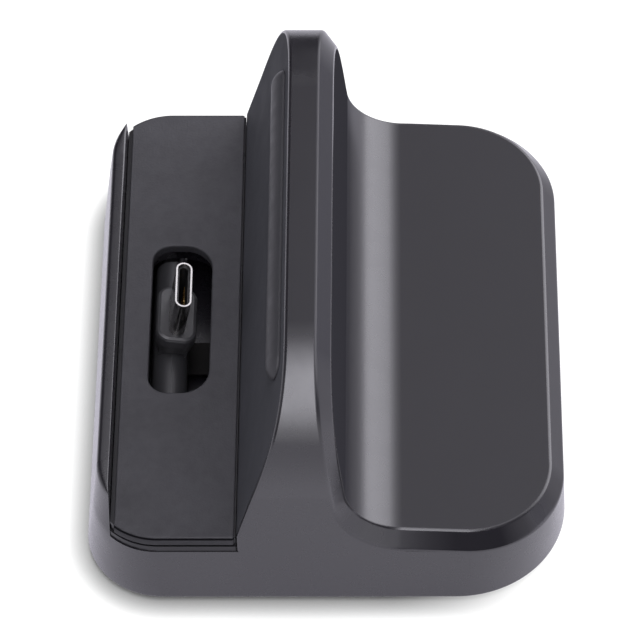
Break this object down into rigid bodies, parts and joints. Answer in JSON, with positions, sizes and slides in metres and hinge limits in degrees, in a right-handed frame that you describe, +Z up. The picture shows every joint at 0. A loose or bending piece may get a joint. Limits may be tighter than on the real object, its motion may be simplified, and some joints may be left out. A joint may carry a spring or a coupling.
{
  "type": "usb-c docking station",
  "caption": "Charging dock for a handheld console: padded cradle with a tilting plug, a leaning back rest and a swept rear deck.",
  "frame": {"origin": "centre of the box that holds the dock, on the table under its feet", "axes": "+X from the front lip to the rear wall with the power socket, +Y along the cradle, +Z up"},
  "size_m": [0.07, 0.081, 0.042],
  "materials": {
    "housing": "satin moulded, gunmetal grey",
    "tray": "smooth black",
    "mat": "matte, fine texture",
    "strip": "matte",
    "overmould": "satin black",
    "plug_steel": "bright nickel plate",
    "liner": "matte black",
    "contact_gold": "gold plated",
    "pin_steel": "ground",
    "spring_steel": "drawn wire",
    "bracket": "matte black",
    "screw_steel": "zinc plated",
    "board": "green solder mask",
    "socket_steel": "nickel plate",
    "chip": "matte black",
    "ferrite": "moulded ferrite",
    "capacitor": "ceramic",
    "connector": "cream plastic",
    "ribbon": "dark brown film",
    "weight_steel": "sawn steel",
    "cover": "fine spark texture",
    "foot_rubber": "matte black"
  },
  "bodies": {
    "dock": {"main_housing": "housing", "cradle_tray": "tray", "cradle_mat": "mat", "backrest_strip": "strip", "pivot_pin": "pin_steel", "return_spring": "spring_steel", "pivot_bracket": "bracket", "bracket_screws": "screw_steel", "circuit_board": "board", "board_screws": "screw_steel", "power_socket_shell": "socket_steel", "power_socket_tongue": "liner", "power_socket_contacts": "contact_gold", "power_chip": "chip", "inductor": "ferrite", "capacitors": "capacitor", "ribbon_socket": "connector", "plug_ribbon": "ribbon", "weight_near": "weight_steel", "weight_far": "weight_steel", "bottom_cover": "cover", "cover_screws": "screw_steel", "foot_front_near": "foot_rubber", "foot_front_far": "foot_rubber", "foot_rear_near": "foot_rubber", "foot_rear_far": "foot_rubber"},
    "plug": {"plug_rocker": "overmould", "plug_shell": "plug_steel", "plug_liner": "liner", "plug_contacts": "contact_gold"}
  },
  "joints": [
    {"name": "plug_tilt", "type": "hinge", "parent": "dock", "child": "plug", "pos_m": [-0.02363, 0, 0.008], "axis": [0, 1, 0], "range_deg": [-3, 10], "stiffness_Nm_per_rad": 0.02, "deforming": ["return_spring", "plug_ribbon"]}
  ]
}
